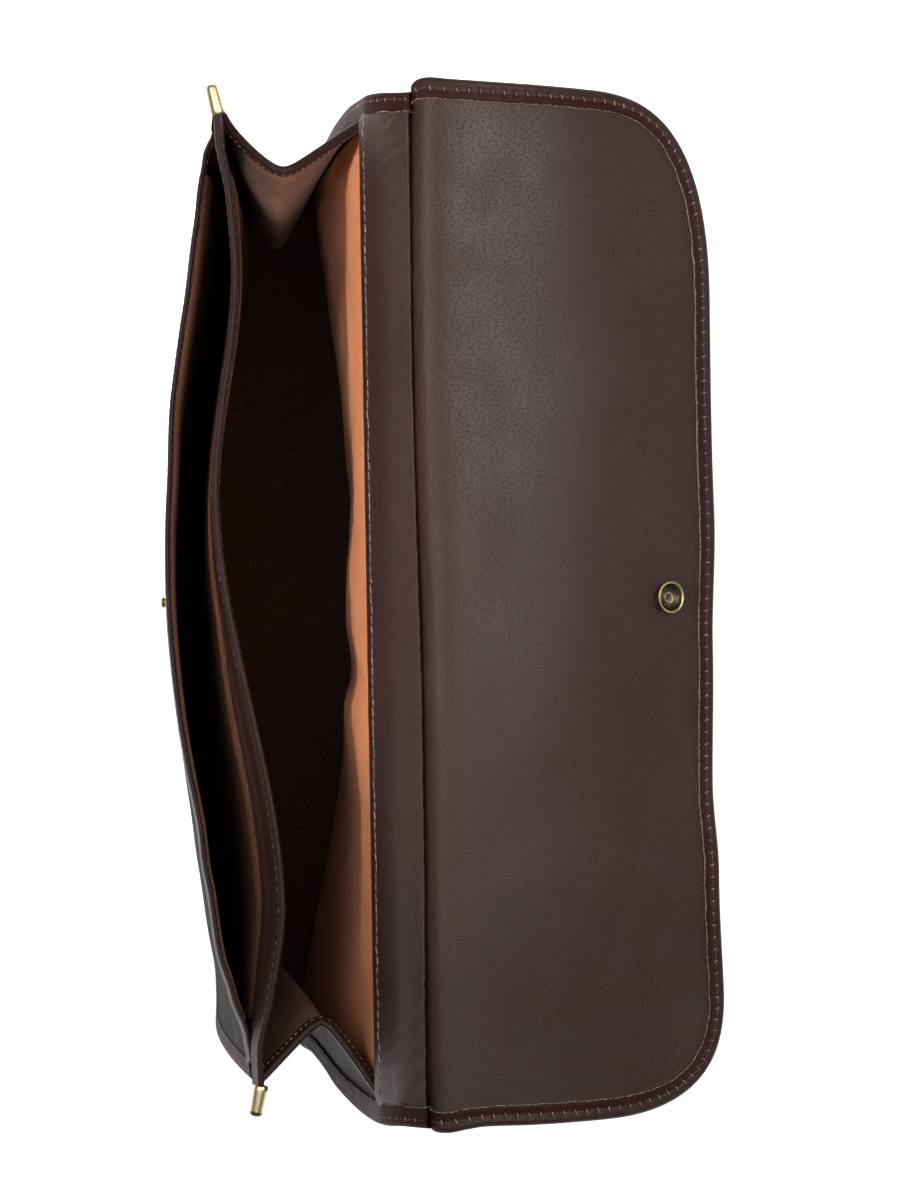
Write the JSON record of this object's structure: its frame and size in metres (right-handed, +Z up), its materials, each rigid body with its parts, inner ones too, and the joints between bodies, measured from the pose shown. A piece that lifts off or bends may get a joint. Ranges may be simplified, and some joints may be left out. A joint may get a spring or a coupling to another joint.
{
  "type": "flap briefcase",
  "caption": "Soft dark-brown leather flap briefcase standing open: lined main compartment, front pocket, folding ends, bound and stitched edges, brass snap and tips.",
  "frame": {"origin": "on the floor, under the middle of the whole case's box", "axes": "+X along the case's length, -Y to the front with the pocket, +Y to the side the flap opens to, +Z up"},
  "size_m": [0.4478, 0.247, 0.2858],
  "materials": {
    "leather": "dark brown, satin, fine grain",
    "trim_leather": "dark brown strip leather",
    "suede": "brown suede, matt",
    "tan_cloth": "tan cotton lining",
    "brass": "polished brass"
  },
  "bodies": {
    "root": {"front_panel": "leather", "front_lining": "tan_cloth", "front_hem": "leather", "front_binding": "trim_leather", "divider": "leather", "divider_pocket_lining": "tan_cloth", "divider_lining": "tan_cloth", "divider_hem": "leather", "tip_left": "brass", "tip_right": "brass", "gusset_left": "suede", "gusset_right": "suede", "gusset_hem_left": "trim_leather", "gusset_hem_right": "trim_leather", "base": "suede", "back_panel": "leather", "back_lining": "tan_cloth", "back_facing": "leather", "back_binding": "trim_leather", "flap_outer": "leather", "flap_lining": "leather", "flap_binding": "trim_leather", "snap_socket": "brass", "snap_cap": "brass", "snap_stud": "brass"}
  },
  "joints": []
}
